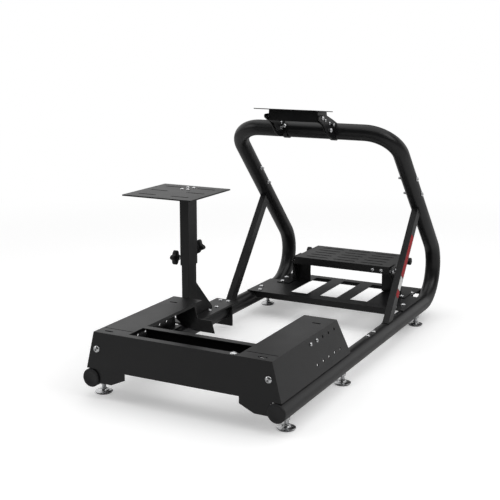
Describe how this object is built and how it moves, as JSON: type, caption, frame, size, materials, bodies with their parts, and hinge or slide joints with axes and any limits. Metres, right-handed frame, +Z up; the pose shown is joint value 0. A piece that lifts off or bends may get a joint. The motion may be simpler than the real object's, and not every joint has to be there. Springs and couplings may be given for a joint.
{
  "type": "sim racing cockpit",
  "caption": "Black tubular sim racing cockpit frame with a leaning hoop for the wheel deck, seat boxes, a side shifter stand, a pedal tray and levelling feet.",
  "frame": {"origin": "on the floor, on the middle plane between the two rails, under the rear face of the seat base", "axes": "+Y forward towards the pedals, +X to the driver's right, +Z up"},
  "size_m": [0.6888, 1.248, 0.7309],
  "materials": {
    "black_powder_coat": "satin black powder coat with a fine texture",
    "zinc_bolts": "bright zinc plate",
    "zinc_feet": "bright zinc plate",
    "black_plastic": "matte moulded black"
  },
  "bodies": {
    "frame": {"side_frame_left": "black_powder_coat", "side_frame_right": "black_powder_coat", "hoop": "black_powder_coat", "hoop_bolts": "zinc_bolts", "strut_left": "black_powder_coat", "strut_right": "black_powder_coat", "end_cap_left": "black_plastic", "end_cap_right": "black_plastic", "rear_beam": "black_powder_coat", "seat_box_left": "black_powder_coat", "seat_box_right": "black_powder_coat", "seat_box_bolts": "zinc_bolts", "rear_bracket_left": "black_powder_coat", "rear_bracket_right": "black_powder_coat", "foot_rear_left": "zinc_feet", "foot_rear_right": "zinc_feet", "foot_mid_left": "zinc_feet", "foot_mid_right": "zinc_feet", "foot_front_left": "zinc_feet", "foot_front_right": "zinc_feet", "shifter_base": "black_powder_coat", "shifter_stop": "black_powder_coat", "shifter_gusset": "black_powder_coat", "shifter_post": "black_powder_coat", "rail_bolts": "zinc_bolts", "pedal_tray": "black_powder_coat", "tray_bolts": "zinc_bolts", "pedal_bracket_left": "black_powder_coat", "pedal_bracket_right": "black_powder_coat", "deck_bracket_left": "black_powder_coat", "deck_bracket_right": "black_powder_coat", "deck_strap_bolts": "zinc_bolts"},
    "shifter_slide": {"shifter_sleeve": "black_powder_coat", "shifter_top": "black_powder_coat", "shifter_top_bolts": "zinc_bolts"},
    "side_knob": {"knob_side": "black_plastic"},
    "front_knob": {"knob_front": "black_plastic"},
    "wheel_deck": {"deck_plate": "black_powder_coat", "deck_cradle": "black_powder_coat", "deck_pivots": "zinc_bolts"},
    "pedal_deck": {"pedal_plate": "black_powder_coat", "pedal_plate_bolts": "zinc_bolts", "pedal_pivots": "zinc_bolts", "pedal_knob_left": "black_plastic", "pedal_knob_right": "black_plastic"}
  },
  "joints": [
    {"name": "shifter_height", "type": "slide", "parent": "frame", "child": "shifter_slide", "axis": [0, 0, 1], "range_m": [-0.05, 0.1]},
    {"name": "side_knob_turn", "type": "hinge", "parent": "shifter_slide", "child": "side_knob", "pos_m": [-0.272, 0.5, 0.274], "axis": [1, 0, 0], "continuous": true},
    {"name": "front_knob_turn", "type": "hinge", "parent": "shifter_slide", "child": "front_knob", "pos_m": [-0.272, 0.5, 0.302], "axis": [0, 1, 0], "continuous": true},
    {"name": "wheel_deck_tilt", "type": "hinge", "parent": "frame", "child": "wheel_deck", "pos_m": [0, 0.66737, 0.703], "axis": [1, 0, 0], "range_deg": [-3, 12]},
    {"name": "pedal_plate_tilt", "type": "hinge", "parent": "frame", "child": "pedal_deck", "pos_m": [0, 1.053, 0.163], "axis": [1, 0, 0], "range_deg": [0, 10]}
  ]
}
